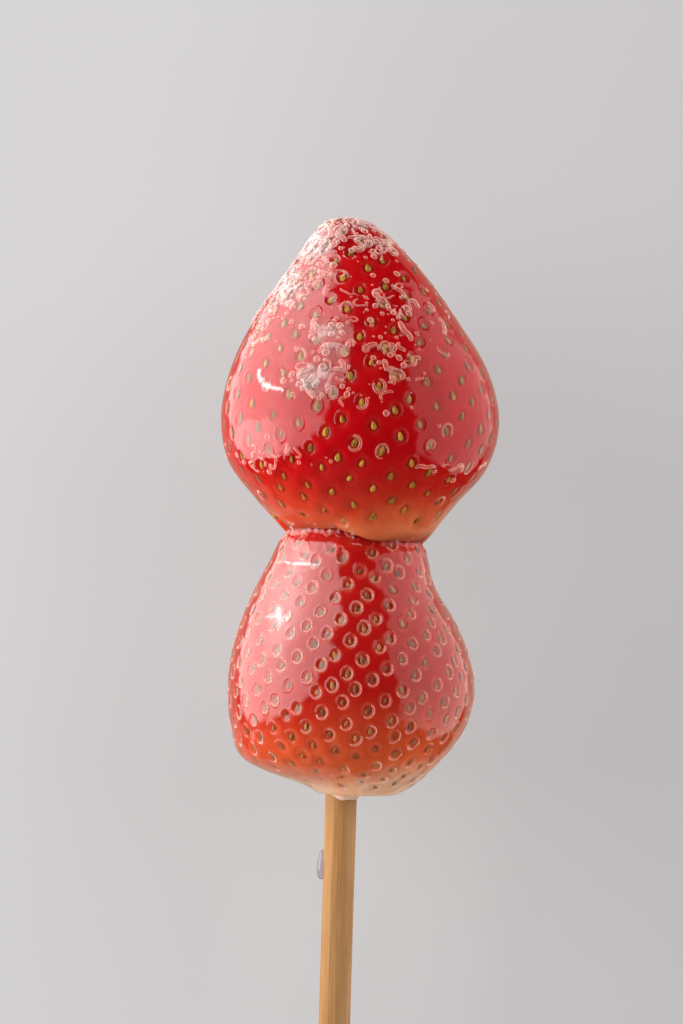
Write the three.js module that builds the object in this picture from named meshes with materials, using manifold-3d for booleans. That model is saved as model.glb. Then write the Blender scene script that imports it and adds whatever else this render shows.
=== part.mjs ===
/*
 * Strawberry tanghulu: two whole, hulled strawberries threaded on a round bamboo
 * skewer with their tips the same way, under one coat of hard clear sugar.
 *
 * It lies on its back, the shown side up, as it would on a tray. +Y runs along the
 * skewer towards the strawberries' tips, +X is to the right of the shown side and +Z
 * is up. The origin is on the floor, under the middle of the whole length and width.
 *
 * Each strawberry is drawn in the skewer's frame: "down" is the distance from the
 * upper strawberry's tip towards the skewer's blunt end, so y = -down, and x = z = 0
 * is the skewer's axis. Its solid includes the sugar coat. Every seed is a low bead
 * in a shallow pit, and the seeds are set out on a golden-angle spiral.
 *
 * Units are millimetres.
 */
import * as THREE from "three";
import { ConvexHull } from "three/addons/math/ConvexHull.js";
import { mergeVertices } from "three/addons/utils/BufferGeometryUtils.js";
import Module from "manifold-3d";

// ---- driving dimensions --------------------------------------------------------

const GAP = 0.3; // between neighbouring solids that touch in the real thing

const skewer = {
  radius: 2, // a 4 mm bamboo skewer
  length: 150,
  start: 10, // its hidden point, down from the upper strawberry's tip
  pointLength: 9,
  pointRadius: 0.35,
  endChamfer: 0.4,
  sides: 24,
};

const axisHeight = 15.2; // the skewer's axis above the floor

// A station is [down, radius, sideways shift of the section's middle off the skewer].
const upper = {
  name: "upper_strawberry",
  color: 0xb01a18,
  stations: [
    [0, 0, -1.4],
    [0.5, 2.3, -1.3],
    [2, 4.4, -0.85],
    [6.8, 8.45, 0],
    [12.9, 12.8, 0.3],
    [18.9, 16.1, 0.8],
    [25.2, 17.5, 1.0],
    [31, 16.3, 0.85],
    [35.6, 12.7, 0.75],
    [39.4, 9.1, 0.85],
    [40.6, 4.5, 0.8],
    [40.7, 0, 0.8],
  ],
  depthRatio: 0.94, // front to back against left to right
  forward: 0.75, // how far its middle stands in front of the skewer
  seeds: 290,
  bareFrom: 38.6, // no seeds past this distance down, where it meets its neighbour
  bareTo: 60,
};

const lower = {
  name: "lower_strawberry",
  color: 0xc22a20,
  stations: [
    [33.4, 0, 0.7],
    [34.6, 4.2, 0.7],
    [38.2, 7.1, 0.65],
    [41.2, 8.9, 0.5],
    [46.1, 11.1, -0.1],
    [51.2, 13.7, 0.4],
    [56, 15.2, 0.75],
    [60.2, 15.5, 0.85],
    [64.4, 14.6, 0.45],
    [68.6, 12.1, -0.2],
    [71.5, 6.8, 1.9],
    [72.6, 4.4, 1.8],
    [71.8, 2.6, 0.9],
    [71.4, 0, 0.5],
  ],
  depthRatio: 0.98,
  forward: -0.5,
  seeds: 310,
  bareFrom: 0,
  bareTo: 40.6,
};

const joint = { down: 40.6, tipRadius: 8 }; // where the lower tip sits in the upper fruit

const lobes = { two: 0.012, three: 0.014 }; // unevenness of a section, over its radius

const seed = { halfWidth: 0.42, halfLength: 0.66, height: 0.2, sides: 5 };
const pit = { halfWidth: 0.9, halfLength: 1.1, depth: 0.2, sides: 5, turn: 0.3 };
const seedShuffle = 0.35; // how far a seed may stray from the spiral

const restPatch = 4.2; // radius of the smooth patch round each flat resting spot
const patchRing = { halfWidth: 1.5, halfLength: 1.5, sides: 4, turn: 0.4 }; // of a bare place

const sugar = { roughness: 0.08, metalness: 0 };
const bamboo = { color: 0xc8995c, roughness: 0.6, metalness: 0 };

const GOLDEN_ANGLE = Math.PI * (3 - Math.sqrt(5));
const STRAY = { perIndex: 12.9898, perChannel: 78.233, scale: 43758.5453 };
const CURVE_STEPS = 400; // points that a meridian is measured at
const SKIN_STEP = 0.05; // short step along the skin, for the direction out of it
const POLE_MARGIN = 0.3; // that direction is taken no closer to a meridian's end
const MERGE_DISTANCE = 1e-4; // vertices closer than this are one
const TRIM_BOX = 200;

// ---- small helpers ---------------------------------------------------------------

const wasm = await Module();
wasm.setup();

/** A repeatable number from -1 to 1 for a seed's index and one of its channels. */
function stray(index, channel) {
  const wave = Math.sin(index * STRAY.perIndex + channel * STRAY.perChannel) * STRAY.scale;
  return 2 * (wave - Math.floor(wave)) - 1;
}

/** A closed three.js geometry as a manifold solid. */
function solidFrom(geometry) {
  const bare = geometry.clone();
  for (const name of ["normal", "uv"]) bare.deleteAttribute(name);
  const merged = mergeVertices(bare, MERGE_DISTANCE);
  return new wasm.Manifold(
    new wasm.Mesh({
      numProp: 3,
      vertProperties: merged.attributes.position.array,
      triVerts: new Uint32Array(merged.index.array),
    }),
  );
}

/** A manifold solid as a three.js geometry. */
function geometryFrom(solid) {
  const { vertProperties, triVerts } = solid.getMesh();
  const geometry = new THREE.BufferGeometry()
    .setAttribute("position", new THREE.BufferAttribute(vertProperties, 3))
    .setIndex(new THREE.BufferAttribute(triVerts, 1));
  geometry.computeVertexNormals();
  return geometry;
}

function namedMesh(name, geometry, look) {
  const mesh = new THREE.Mesh(geometry, new THREE.MeshStandardMaterial(look));
  mesh.name = name;
  return mesh;
}

// ---- a strawberry's skin -----------------------------------------------------------

/**
 * The meridian of a strawberry, measured: running length and swept area from its tip,
 * so that a place on the skin is (s, angle), with s the length along the meridian.
 */
function measuredMeridian(berry) {
  const curve = new THREE.CatmullRomCurve3(
    berry.stations.map(([down, radius, shift]) => new THREE.Vector3(shift, down, radius)),
    false,
    "catmullrom",
    0.5,
  );
  const rows = [];
  let length = 0;
  let area = 0;
  for (let i = 0; i <= CURVE_STEPS; i++) {
    const p = curve.getPoint(i / CURVE_STEPS);
    const radius = Math.max(0, p.z);
    const last = rows.at(-1);
    if (last) {
      const step = Math.hypot(p.y - last.down, radius - last.radius);
      length += step;
      area += (step * (radius + last.radius)) / 2;
    }
    rows.push({ s: length, area, down: p.y, radius, shift: p.x });
  }
  return { rows, length, area };
}

/** The meridian's row where one of its columns, "s" or "area", has a given value. */
function rowAt(meridian, column, value) {
  const { rows } = meridian;
  let low = 0;
  let high = rows.length - 1;
  while (high - low > 1) {
    const middle = (low + high) >> 1;
    if (rows[middle][column] > value) high = middle;
    else low = middle;
  }
  const a = rows[low];
  const b = rows[high];
  const share = THREE.MathUtils.clamp((value - a[column]) / (b[column] - a[column]), 0, 1);
  const mixed = {};
  for (const key of Object.keys(a)) mixed[key] = THREE.MathUtils.lerp(a[key], b[key], share);
  return mixed;
}

/** The point of the skin at (s, angle): an ellipse with two and three faint lobes. */
function skinPoint(berry, meridian, s, angle) {
  const { down, radius, shift } = rowAt(meridian, "s", s);
  const unevenness =
    1 + lobes.two * Math.sin(2 * angle) + lobes.three * Math.sin(3 * angle) * Math.sin(angle);
  return new THREE.Vector3(
    shift + radius * unevenness * Math.cos(angle),
    -down,
    berry.forward + radius * unevenness * berry.depthRatio * Math.sin(angle),
  );
}

/** The skin's outward direction at (s, angle), from two short steps along it. */
function skinNormal(berry, meridian, s, angle) {
  const inside = THREE.MathUtils.clamp(s, POLE_MARGIN, meridian.length - POLE_MARGIN);
  const here = skinPoint(berry, meridian, inside, angle);
  const along = skinPoint(berry, meridian, inside + SKIN_STEP, angle).sub(here);
  const round = skinPoint(berry, meridian, inside, angle + SKIN_STEP).sub(here);
  return round.cross(along).normalize();
}

/** The place (s, angle) that lies across and along the skin from a place of radius r. */
function placeBeside(meridian, { s, angle }, across, along) {
  const half = s < meridian.length / 2 ? 1 : -1;
  const radius = rowAt(meridian, "s", s).radius;
  const reach = Math.hypot(radius + half * along, across);
  return {
    s: THREE.MathUtils.clamp(s + half * (reach - radius), 0, meridian.length),
    angle: angle + Math.atan2(across, radius + half * along),
  };
}

/** An oval ring of places round a centre, each lifted off the skin by the same height. */
function ringOfPlaces(meridian, centre, { halfWidth, halfLength, sides, turn = 0 }, lift) {
  return Array.from({ length: sides }, (_, i) => {
    const a = turn + (i / sides) * 2 * Math.PI;
    const place = placeBeside(meridian, centre, halfWidth * Math.sin(a), halfLength * Math.cos(a));
    return { ...place, lift };
  });
}

/** The places of one seed in its pit: its crown, its foot and the pit's rim. */
function seedPlaces(meridian, centre) {
  const floor = -pit.depth;
  return [
    { ...centre, lift: floor + seed.height },
    ...ringOfPlaces(meridian, centre, seed, floor),
    ...ringOfPlaces(meridian, centre, pit, 0),
  ];
}

/** The places of a smooth patch, where there is no seed. */
function barePlaces(meridian, centre) {
  return [{ ...centre, lift: 0 }, ...ringOfPlaces(meridian, centre, patchRing, 0)];
}

/**
 * Every place of a strawberry's skin. The golden-angle spiral gives each seed the same
 * share of the area, and a seed that would fall in the joint or on the resting spot
 * is left out.
 */
function skinPlaces(berry, meridian) {
  const widest = Math.max(...berry.stations.map(([, radius]) => radius));
  const [restDown, , restShift] = berry.stations.find(([, radius]) => radius === widest);
  const places = [];
  for (let i = 0; i < berry.seeds; i++) {
    const spiral = {
      s: rowAt(meridian, "area", (meridian.area * (i + 0.5)) / berry.seeds).s,
      angle: (i * GOLDEN_ANGLE) % (2 * Math.PI),
    };
    const centre = placeBeside(
      meridian,
      spiral,
      seedShuffle * stray(i, 1),
      seedShuffle * stray(i, 2),
    );
    const point = skinPoint(berry, meridian, centre.s, centre.angle);
    const joined = -point.y > berry.bareFrom && -point.y < berry.bareTo;
    const resting =
      point.z < 0 && Math.hypot(point.x - restShift, point.y + restDown) < restPatch;
    places.push(...(joined || resting ? barePlaces : seedPlaces)(meridian, centre));
  }
  return places;
}

/**
 * A closed strawberry. The places are first laid on a unit sphere by a map that keeps
 * area, where their convex hull is the best triangulation, and the same triangles are
 * then drawn between the places on the skin.
 */
function strawberryGeometry(berry) {
  const meridian = measuredMeridian(berry);
  const places = skinPlaces(berry, meridian);
  const onSphere = places.map(({ s, angle }, index) => {
    const height = 1 - (2 * rowAt(meridian, "s", s).area) / meridian.area;
    const ring = Math.sqrt(Math.max(0, 1 - height * height));
    const point = new THREE.Vector3(ring * Math.cos(angle), height, ring * Math.sin(angle));
    point.index = index;
    return point;
  });
  const triangles = new ConvexHull().setFromPoints(onSphere).faces.flatMap(({ edge }) => [
    edge.prev.head().point.index,
    edge.head().point.index,
    edge.next.head().point.index,
  ]);
  const positions = places.flatMap(({ s, angle, lift }) =>
    skinPoint(berry, meridian, s, angle)
      .addScaledVector(skinNormal(berry, meridian, s, angle), lift)
      .toArray(),
  );
  return new THREE.BufferGeometry()
    .setAttribute("position", new THREE.Float32BufferAttribute(positions, 3))
    .setIndex(triangles);
}

// ---- the skewer and what it cuts ---------------------------------------------------

/** A round bar on the skewer's axis, from its sharp point to its blunt end. */
function skewerGeometry(extraRadius, extraLength) {
  const { radius, length, start, pointLength, pointRadius, endChamfer, sides } = skewer;
  const top = -start + extraLength;
  const bottom = -start - length - extraLength;
  const profile = [
    new THREE.Vector2(0, bottom),
    new THREE.Vector2(radius + extraRadius - endChamfer, bottom),
    new THREE.Vector2(radius + extraRadius, bottom + endChamfer),
    new THREE.Vector2(radius + extraRadius, top - pointLength),
    new THREE.Vector2(pointRadius + extraRadius, top),
    new THREE.Vector2(0, top),
  ];
  return new THREE.LatheGeometry(profile, sides);
}

/** Everything below the floor that the strawberries rest on. */
function underFloor() {
  return new THREE.BoxGeometry(TRIM_BOX, 2 * TRIM_BOX, TRIM_BOX).translate(
    0,
    0,
    -axisHeight - TRIM_BOX / 2,
  );
}

/** The lower strawberry grown by the gap about the joint: the nest for its tip. */
function nestGeometry(lowerGeometry) {
  const growth = 1 + GAP / joint.tipRadius;
  return lowerGeometry
    .clone()
    .translate(0, joint.down, 0)
    .scale(growth, growth, growth)
    .translate(0, -joint.down, 0);
}

// ---- the whole ----------------------------------------------------------------------

const lowerGeometry = strawberryGeometry(lower);
const bore = solidFrom(skewerGeometry(GAP, GAP));
const floor = solidFrom(underFloor());

const upperSolid = solidFrom(strawberryGeometry(upper))
  .subtract(solidFrom(nestGeometry(lowerGeometry)))
  .subtract(bore)
  .subtract(floor);
const lowerSolid = solidFrom(lowerGeometry).subtract(bore).subtract(floor);

const tanghulu = new THREE.Group();
tanghulu.name = "strawberry_tanghulu";
tanghulu.add(
  namedMesh(upper.name, geometryFrom(upperSolid), { ...sugar, color: upper.color }),
  namedMesh(lower.name, geometryFrom(lowerSolid), { ...sugar, color: lower.color }),
  namedMesh("skewer", skewerGeometry(0, 0), bamboo),
);

const bounds = new THREE.Box3().setFromObject(tanghulu);
const middle = bounds.getCenter(new THREE.Vector3());
tanghulu.position.set(-middle.x, -middle.y, axisHeight);

export default tanghulu;
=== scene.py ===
"""Strawberry tanghulu: two hulled strawberries on a bamboo skewer, under clear hard sugar.

It lies on its back on a pale table, seen from straight above. Every shape is worked out in
millimetres from the upper strawberry's tip: x to the right of the shown side, y along the
skewer towards the tips and z up, with x = z = 0 on the skewer's axis. "Down" is the
distance from that tip towards the skewer's blunt end.
"""

import bpy
import numpy as np
from mathutils import Matrix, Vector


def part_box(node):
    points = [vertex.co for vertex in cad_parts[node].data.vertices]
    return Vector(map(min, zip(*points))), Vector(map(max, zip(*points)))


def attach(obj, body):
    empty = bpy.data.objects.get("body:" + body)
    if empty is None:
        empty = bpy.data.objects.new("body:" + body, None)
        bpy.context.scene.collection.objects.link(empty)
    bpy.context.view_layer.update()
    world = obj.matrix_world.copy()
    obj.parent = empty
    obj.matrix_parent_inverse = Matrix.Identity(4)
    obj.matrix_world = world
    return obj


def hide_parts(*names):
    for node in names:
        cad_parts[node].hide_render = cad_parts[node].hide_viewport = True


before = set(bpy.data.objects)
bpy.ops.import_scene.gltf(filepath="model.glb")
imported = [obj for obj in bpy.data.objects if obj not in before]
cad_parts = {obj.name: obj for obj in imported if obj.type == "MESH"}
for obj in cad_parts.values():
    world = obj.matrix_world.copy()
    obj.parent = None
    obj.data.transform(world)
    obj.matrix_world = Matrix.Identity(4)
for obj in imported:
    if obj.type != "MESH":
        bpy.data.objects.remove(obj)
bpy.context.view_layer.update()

# ---- The skewer ------------------------------------------------------------------------
# A round bamboo stick, split and sanded, with a cut blunt end. Long fibres run through it
# and stand a little proud of its side. Its point is hidden in the upper strawberry.
MM = 0.001
skewer_start = 10.0  # from the upper strawberry's tip to the skewer's point
skewer_low, skewer_high = (np.array(corner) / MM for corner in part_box("skewer"))
skewer_radius = (skewer_high[0] - skewer_low[0]) / 2
skewer_length = skewer_high[1] - skewer_low[1]
skewer_taper, point_share = 9.0, 0.17  # the point's length, and its end's share of the radius
skewer_chamfer = 0.25
fibre_height = 0.018
tip_place = np.array([
    (skewer_low[0] + skewer_high[0]) / 2,
    skewer_high[1] + skewer_start,
    (skewer_low[2] + skewer_high[2]) / 2,
])


def make_piece(name, points, *faces):
    """One smooth mesh from points, measured from the upper tip, and arrays of faces that
    each list the three or four corners of every face."""
    mesh = bpy.data.meshes.new(name)
    corners = np.concatenate([kind.ravel() for kind in faces]).astype(np.int32)
    widths = np.concatenate([np.full(len(kind), kind.shape[1]) for kind in faces])
    starts = np.cumsum(widths) - widths
    mesh.vertices.add(len(points))
    mesh.vertices.foreach_set("co", ((points + tip_place) * MM).astype(np.float32).ravel())
    mesh.loops.add(len(corners))
    mesh.loops.foreach_set("vertex_index", corners)
    mesh.polygons.add(len(widths))
    mesh.polygons.foreach_set("loop_start", starts.astype(np.int32))
    mesh.polygons.foreach_set("use_smooth", np.ones(len(widths), dtype=bool))
    mesh.update(calc_edges=True)
    piece = bpy.data.objects.new(name, mesh)
    bpy.context.scene.collection.objects.link(piece)
    return piece


def ring_faces(rows, columns):
    """Four-sided faces between neighbouring closed rings, and triangles from the first and
    the last ring to two poles whose points follow those of the rings."""
    here = np.arange(columns)
    beside = (here + 1) % columns
    row = np.arange(rows - 1)[:, None] * columns
    sides = np.stack([row + here, row + beside, row + beside + columns, row + here + columns], -1)
    first_pole, last_ring = rows * columns, (rows - 1) * columns
    caps = np.concatenate([
        np.stack([np.full(columns, first_pole), beside, here], -1),
        np.stack([np.full(columns, first_pole + 1), last_ring + here, last_ring + beside], -1),
    ])
    return sides.reshape(-1, 4), caps


def ring_piece(name, rings, poles):
    """A closed piece from a grid of rings and the two points that close its ends."""
    return make_piece(name, np.vstack([rings.reshape(-1, 3), poles]), *ring_faces(*rings.shape[:2]))


def round_angles(columns):
    """Equally spaced angles once round, as a row."""
    return np.linspace(0, 2 * np.pi, columns, endpoint=False)[None, :]


def fill(sockets, values):
    """Puts a plain value into each named socket, or links another node's output to it."""
    for key, value in values.items():
        if isinstance(value, bpy.types.NodeSocket):
            sockets[key].id_data.links.new(value, sockets[key])
        else:
            sockets[key].default_value = value


def set_inputs(shader, **inputs):
    """Fills a shader's own sockets; an underscore stands for a space in their names."""
    fill(shader.inputs, {key.replace("_", " "): value for key, value in inputs.items()})


def node(tree, kind, inputs=(), **settings):
    """Adds a shader node, sets its settings and fills its inputs."""
    made = tree.nodes.new(kind)
    for key, value in settings.items():
        setattr(made, key, value)
    fill(made.inputs, dict(inputs))
    return made


def worked(tree, operation, *values, **settings):
    """The result of a sum on values or outputs, such as MULTIPLY."""
    return node(tree, "ShaderNodeMath", enumerate(values), operation=operation, **settings).outputs[0]


def ramp(tree, value, low, high, start=0.0, end=1.0, kind="LINEAR"):
    """Turns a value that goes from low to high into one that goes from start to end."""
    return node(tree, "ShaderNodeMapRange", {
        "Value": value, "From Min": low, "From Max": high, "To Min": start, "To Max": end,
    }, interpolation_type=kind).outputs["Result"]


def object_place(tree):
    """The place on the piece, in metres."""
    return node(tree, "ShaderNodeTexCoord").outputs["Object"]


def bump(tree, height, strength, distance, **below):
    """The direction that a surface with this relief faces."""
    return node(tree, "ShaderNodeBump", {
        "Height": height, "Strength": strength, "Distance": distance, **below}).outputs[0]


def mix_colour(tree, share, first, second):
    """The first colour where share is 0 and the second where it is 1."""
    return node(tree, "ShaderNodeMix", {"Factor": share, 6: first, 7: second},
                data_type="RGBA").outputs[2]


def new_group(name, inputs, outputs):
    """An empty shader group with named sockets: inputs as (name, kind, value)."""
    group = bpy.data.node_groups.new(name, "ShaderNodeTree")
    for label, kind, value in inputs:
        group.interface.new_socket(label, in_out="INPUT", socket_type=kind).default_value = value
    for label, kind in outputs:
        group.interface.new_socket(label, in_out="OUTPUT", socket_type=kind)
    return group, group.nodes.new("NodeGroupInput").outputs, group.nodes.new("NodeGroupOutput").inputs


def new_material(name, kind="ShaderNodeBsdfPrincipled"):
    """A material with only its shader and its output."""
    material = bpy.data.materials.new(name)
    material.use_nodes = True
    tree = material.node_tree
    tree.nodes.clear()
    tree.nodes.new("ShaderNodeOutputMaterial")
    shader = tree.nodes.new(kind)
    show(tree, shader)
    return material, tree, shader


def show(tree, shader):
    """Makes a shader the one that the material's output shows."""
    fill(tree.nodes["Material Output"].inputs, {"Surface": shader.outputs[0]})


# Streaks: a noise drawn out along the skewer, which gives long fibres where it is
# stretched far and soft patches where it isn't.
streaks, given, made = new_group(
    "streaks",
    [("Stretch", "NodeSocketVector", (1, 1, 1)), ("Per metre", "NodeSocketFloat", 1000.0),
     ("From", "NodeSocketFloat", 0.35), ("To", "NodeSocketFloat", 0.65)],
    [("Mask", "NodeSocketFloat")],
)
drawn = node(streaks, "ShaderNodeVectorMath", {0: object_place(streaks), 1: given["Stretch"]},
             operation="MULTIPLY")
noise = node(streaks, "ShaderNodeTexNoise", {
    "Vector": drawn.outputs[0], "Scale": given["Per metre"], "Detail": 4.0, "Roughness": 0.55})
fill(made, {"Mask": ramp(streaks, noise.outputs["Fac"], given["From"], given["To"])})


def streak_mask(tree, stretch, per_metre, low, high):
    """The Mask of a streaks group placed in a material with its own values."""
    return node(tree, "ShaderNodeGroup", {
        "Stretch": stretch, "Per metre": per_metre, "From": low, "To": high,
    }, node_tree=streaks).outputs["Mask"]


def skewer_rings(rows, columns):
    """Rings of a bar: the radius grows evenly along the point, stays, and shrinks by the
    chamfer at the cut end. Each ring's radius also follows a sum of three sines of the
    angle whose phases drift slowly along the bar, which gives the proud fibres."""
    along = np.concatenate([
        np.linspace(0, skewer_taper, 12, endpoint=False),
        np.linspace(skewer_taper, skewer_length - skewer_chamfer, rows),
        [skewer_length],
    ])[:, None]
    angle = round_angles(columns)
    body = skewer_radius * np.clip(point_share + (1 - point_share) * along / skewer_taper, 0, 1)
    body = body - np.clip(along - skewer_length + skewer_chamfer, 0, None)
    fibres = (np.sin(11 * angle + 0.05 * along) + np.sin(17 * angle - 0.08 * along + 1.3)
              + np.sin(29 * angle + 0.11 * along + 2.1))
    radius = body + fibre_height * (fibres / 3 - 1)
    x, z = radius * np.cos(angle), radius * np.sin(angle)
    return np.stack([x, -(skewer_start + along) + 0 * x, z], -1)


skewer_ends = [[0, -skewer_start, 0], [0, -skewer_start - skewer_length, 0]]
bamboo_skewer = ring_piece("bamboo_skewer", skewer_rings(rows=150, columns=96), skewer_ends)

bamboo, tree, shader = new_material("bamboo")
fibre = streak_mask(tree, (1, 0.03, 1), 2600.0, 0.35, 0.68)
vessel = streak_mask(tree, (1, 0.012, 1), 5200.0, 0.60, 0.70)
patch = streak_mask(tree, (1, 0.3, 1), 260.0, 0.35, 0.65)
wood = mix_colour(tree, fibre, (0.42, 0.215, 0.078, 1), (0.29, 0.128, 0.038, 1))
wood = mix_colour(tree, vessel, wood, (0.17, 0.075, 0.026, 1))
wood = mix_colour(tree, worked(tree, "MULTIPLY", patch, 0.35), wood, (0.50, 0.29, 0.13, 1))
set_inputs(shader, Base_Color=wood, Normal=bump(tree, fibre, 0.35, 0.00006), Roughness=0.45, IOR=1.3)
bamboo_skewer.data.materials.append(bamboo)
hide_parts("skewer")
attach(bamboo_skewer, "root")

# ---- The lower strawberry ----------------------------------------------------------------
# A ripe fruit, pushed up the skewer until its tip sits in the one above. Its flesh is red,
# orange towards the hull end and white at the scar, and swells between the seed pits.
coat_thickness = 0.45
joint_down = 40.2
joint_near, joint_fade = 1.0, 2.5  # how far the joint's share of sugar reaches, and fades
tip_y = tip_place[1] * MM  # the upper strawberry's tip, in metres along the scene's y
front_share = 0.25  # how much closer the points lie on the shown side than on the back
lobes_two, lobes_three = 0.012, 0.014
pit_depth, swelling, swelling_reach = 0.30, 0.08, 1.8  # the reach in half-sizes of a pit
GOLDEN_ANGLE = np.pi * (3 - np.sqrt(5))
seed_shuffle = 0.35
rest_patch = 4.2
scar_reach = 7.0
far_away = 9.0  # the distance from a seed where none is near
lower = {
    # each station is the distance down, the radius and the shift to the right
    "stations": np.array([
        [33.4, 0, 0.7], [34.6, 4.2, 0.7], [38.2, 7.1, 0.65], [41.2, 8.9, 0.5],
        [46.1, 11.1, -0.1], [51.2, 13.7, 0.4], [56, 15.2, 0.75], [60.2, 15.5, 0.85],
        [64.4, 14.6, 0.45], [68.6, 12.1, -0.2], [71.5, 6.8, 1.9], [72.6, 4.4, 1.8],
        [71.8, 2.6, 0.9], [71.4, 0, 0.5],
    ]),
    "depth_ratio": 0.98,
    "forward": -0.5,
    "seeds": 500,
    "bare": (0, 40.6),  # no seeds between these distances down
    "pit_half": (0.72, 0.86),  # across and along
    "joint_sugar": 1.0,  # the share of the coat's thickness that lies over it at the joint
}


def measured_line(stations, steps=400):
    """A curve through the stations. Between two of them it is the cubic whose slope at each
    is half the step from the station before it to the one after it. The columns are the
    distance down, the radius, the shift, the length so far and the area swept so far."""
    padded = np.vstack([2 * stations[0] - stations[1], stations, 2 * stations[-1] - stations[-2]])
    t = np.linspace(0, len(stations) - 1, steps + 1)
    k = np.minimum(t.astype(int), len(stations) - 2)
    w = (t - k)[:, None]
    before, a, b, after = padded[k], padded[k + 1], padded[k + 2], padded[k + 3]
    slope_a, slope_b = (b - before) / 2, (after - a) / 2
    line = (a + slope_a * w + (3 * (b - a) - 2 * slope_a - slope_b) * w**2
            + (2 * (a - b) + slope_a + slope_b) * w**3)
    line[:, 1] = np.maximum(line[:, 1], 0)
    step = np.hypot(*np.diff(line[:, :2], axis=0).T)
    swept = step * (line[1:, 1] + line[:-1, 1]) / 2
    length, area = (np.concatenate([[0], np.cumsum(part)]) for part in (step, swept))
    return np.column_stack([line, length, area])


def at(setting, down):
    """A fruit's setting at a distance down: it is a number, or a function of the distance."""
    return setting(down) if callable(setting) else setting


def skin(fruit, length, angle):
    """The skin at a length from the tip and an angle round the fruit. Each section is an
    ellipse of the line's radius, uneven by a sine of twice the angle and a sine of three
    times the angle that fades at the sides."""
    line = fruit["line"]
    down, radius, shift = (np.interp(length, line[:, 3], line[:, i]) for i in range(3))
    uneven = 1 + lobes_two * np.sin(2 * angle) + lobes_three * np.sin(3 * angle) * np.sin(angle)
    ratio, forward = at(fruit["depth_ratio"], down), at(fruit["forward"], down)
    return np.stack(np.broadcast_arrays(
        shift + radius * uneven * np.cos(angle), -down,
        forward + radius * uneven * ratio * np.sin(angle)), -1)


def unit(vectors):
    """Each vector divided by its length."""
    return vectors / np.linalg.norm(vectors, axis=-1, keepdims=True)


def skin_frame(fruit, length, angle):
    """The directions across, along and out of the skin, from short steps on it."""
    step, pole_margin = 0.05, 0.3
    inside = np.clip(length, pole_margin, fruit["line"][-1, 3] - pole_margin)
    across = unit(skin(fruit, inside, angle + step) - skin(fruit, inside, angle - step))
    along = unit(skin(fruit, inside + step, angle) - skin(fruit, inside - step, angle))
    return across, along, unit(np.cross(across, along))


def stray(index, channel):
    """A repeatable number from -1 to 1: the fraction of a large, fast sine."""
    wave = np.sin(index * 12.9898 + channel * 78.233) * 43758.5453
    return 2 * (wave - np.floor(wave)) - 1


def place_beside(fruit, length, angle, across, along):
    """The place that lies across and along the skin from a place of its ring's radius."""
    line = fruit["line"]
    half = np.where(length < line[-1, 3] / 2, 1, -1)
    radius = np.interp(length, line[:, 3], line[:, 1])
    reach = np.hypot(radius + half * along, across)
    return (np.clip(length + half * (reach - radius), 0, line[-1, 3]),
            angle + np.arctan2(across, radius + half * along))


def length_of_area(fruit, share):
    """The length from the tip at which a share of the fruit's area has been swept."""
    line = fruit["line"]
    return np.interp(share * line[-1, 4], line[:, 4], line[:, 3])


def seed_places(fruit):
    """Places of the seeds: a golden-angle spiral in which each has the same share of the
    area, shuffled a little, without those in the joint, on the resting spot and round
    the scar."""
    index = np.arange(fruit["seeds"])
    length, angle = place_beside(
        fruit, length_of_area(fruit, (index + 0.5) / fruit["seeds"]), index * GOLDEN_ANGLE % (2 * np.pi),
        seed_shuffle * stray(index, 1), seed_shuffle * stray(index, 2))
    point = skin(fruit, length, angle)
    widest = fruit["stations"][np.argmax(fruit["stations"][:, 1])]
    joined = (-point[:, 1] > fruit["bare"][0]) & (-point[:, 1] < fruit["bare"][1])
    resting = (point[:, 2] < 0) & (
        np.hypot(point[:, 0] - widest[2], point[:, 1] + widest[0]) < rest_patch)
    scar = length > fruit["line"][-1, 3] - scar_reach
    kept = ~(joined | resting | scar)
    return length[kept], angle[kept]


def pit_distance(points, fruit):
    """How far each point is from the nearest seed, in half-sizes of a seed's oval pit: the
    root of the squares of its shares across and along. Past 4 mm it counts as far away."""
    reach = 4
    nearest = np.full(points.shape[:-1], far_away)
    length, angle = fruit["places"]
    centres = skin(fruit, length, angle)
    across, along, _ = skin_frame(fruit, length, angle)
    for centre, side, ahead in zip(centres, across, along):
        rows = np.abs(points[..., 1] - centre[1]).min(axis=1) < reach
        offset = points[rows] - centre
        shares = np.stack([offset @ side / fruit["pit_half"][0], offset @ ahead / fruit["pit_half"][1]])
        beyond = np.linalg.norm(offset, axis=-1) > reach
        nearest[rows] = np.minimum(nearest[rows], np.hypot(*shares) + far_away * beyond)
    return nearest


def fruit_grid(fruit, lengths, columns):
    """The skin's points and the directions out of it on a grid of rings at the lengths,
    whose columns lie closer together on the shown side: angle = t + share x cos t."""
    t = round_angles(columns)
    angle = t + front_share * np.cos(t)
    length = lengths[:, None] + 0 * angle
    return skin(fruit, length, angle), skin_frame(fruit, length, angle)[2]


def fruit_poles(fruit, inset):
    """The two ends of the fruit on its middle line, moved inwards by the inset."""
    ends = skin(fruit, fruit["line"][[0, -1], 3], np.zeros(2))
    return ends + inset * np.array([[0, -1, 0], [0, 1, 0]])


def flesh_relief(distance):
    """Height of the flesh for a distance from a seed: a round pit under the seed, and a
    swelling between the seeds."""
    return (-pit_depth * np.exp(-1.6 * distance**2)
            + swelling * np.clip(distance / swelling_reach, 0, 1) ** 2 - swelling / 2)


def add_values(piece, name, values, at_poles=()):
    """A number for each point of the mesh, and for its two poles, that its material reads."""
    field = piece.data.attributes.new(name, "FLOAT", "POINT")
    field.data.foreach_set("value", np.append(values.ravel(), at_poles).astype(np.float32))


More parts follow.
